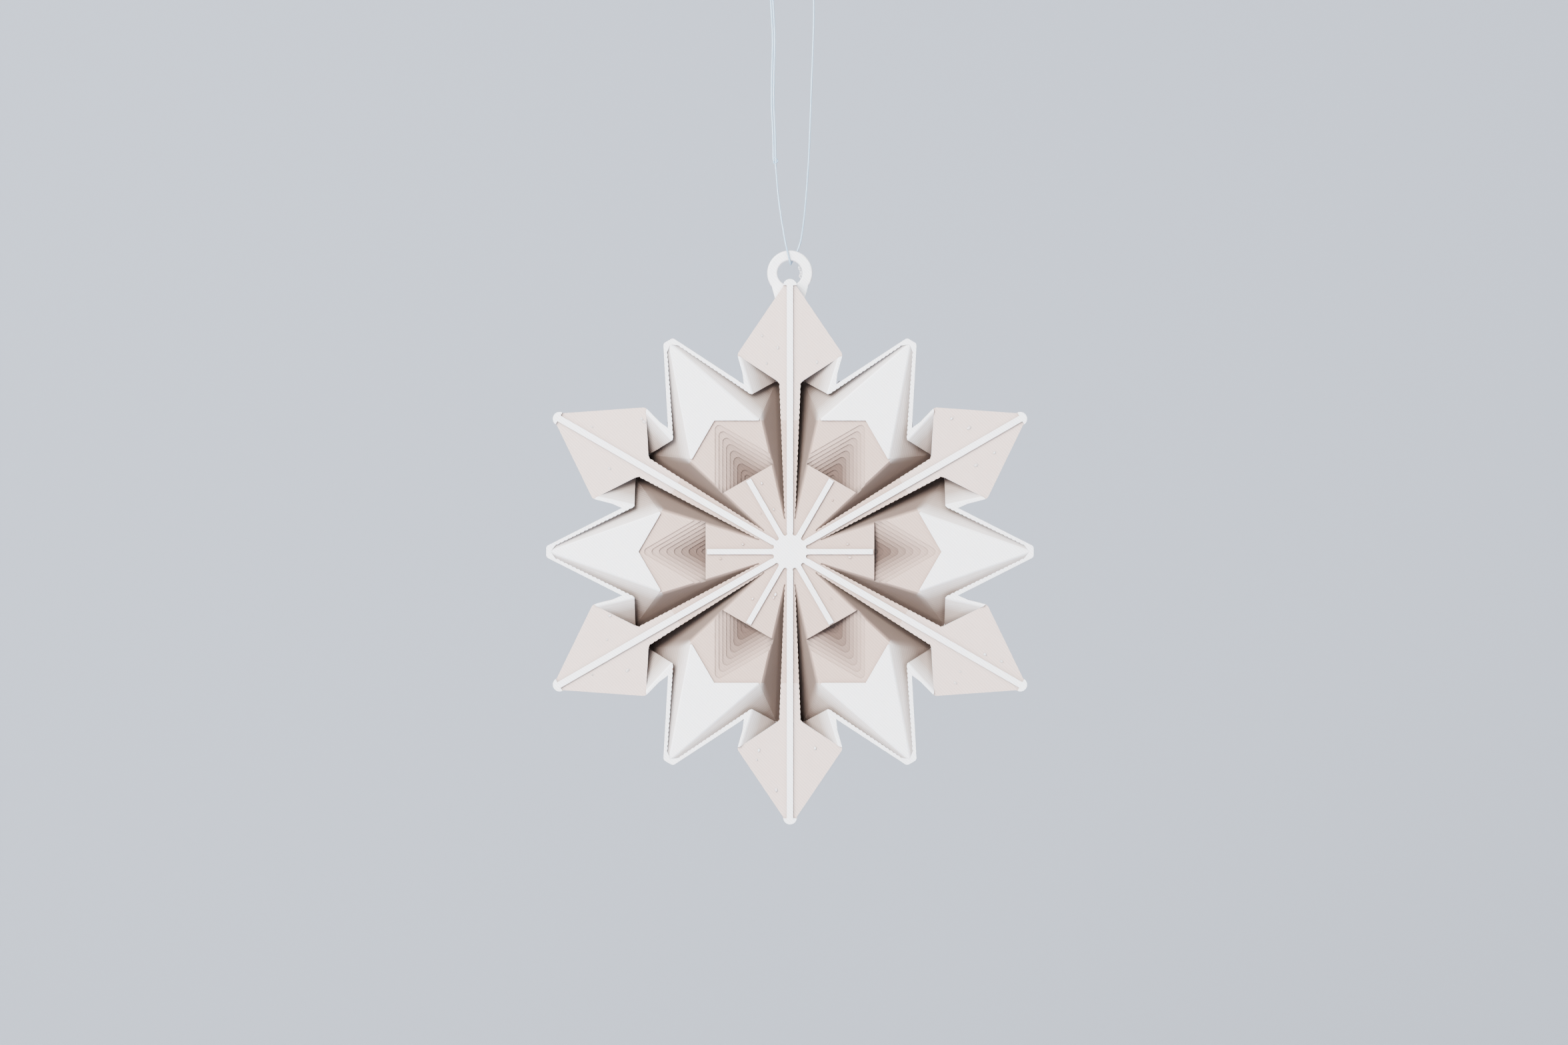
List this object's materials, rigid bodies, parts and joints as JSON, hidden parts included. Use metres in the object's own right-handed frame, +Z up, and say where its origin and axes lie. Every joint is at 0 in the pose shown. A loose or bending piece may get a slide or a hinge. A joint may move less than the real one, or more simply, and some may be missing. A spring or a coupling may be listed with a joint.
{
  "type": "hanging snowflake star ornament",
  "caption": "Flat relief snowflake star with long kite arms and short pointed arms, hung by its round eye on a loop of clear thread.",
  "frame": {"origin": "inside of the thread loop's top, where it hangs on a hook", "axes": "+Z up along the thread, the star faces -Y, +X to the right seen from the front"},
  "size_m": [0.0804, 0.012, 0.1453],
  "materials": {
    "printed_plastic": "printed, layer lines showing, slightly see-through at the edges",
    "clear_thread": "clear drawn nylon, glossy"
  },
  "bodies": {
    "loop": {"thread_loop": "clear_thread", "thread_knot": "clear_thread", "thread_tag_end": "clear_thread"},
    "bight": {"thread_eye_bight": "clear_thread"},
    "star": {"star_front_half": "printed_plastic", "star_back_half": "printed_plastic"}
  },
  "joints": [
    {"name": "star_spin", "type": "hinge", "parent": "loop", "child": "bight", "pos_m": [0.0001, 0, -0.05162], "axis": [0, 0, 1], "range_deg": [-180, 180]},
    {"name": "star_rock", "type": "hinge", "parent": "bight", "child": "star", "pos_m": [0.0001, 0, -0.05162], "axis": [0, 1, 0], "range_deg": [-25, 25]}
  ]
}
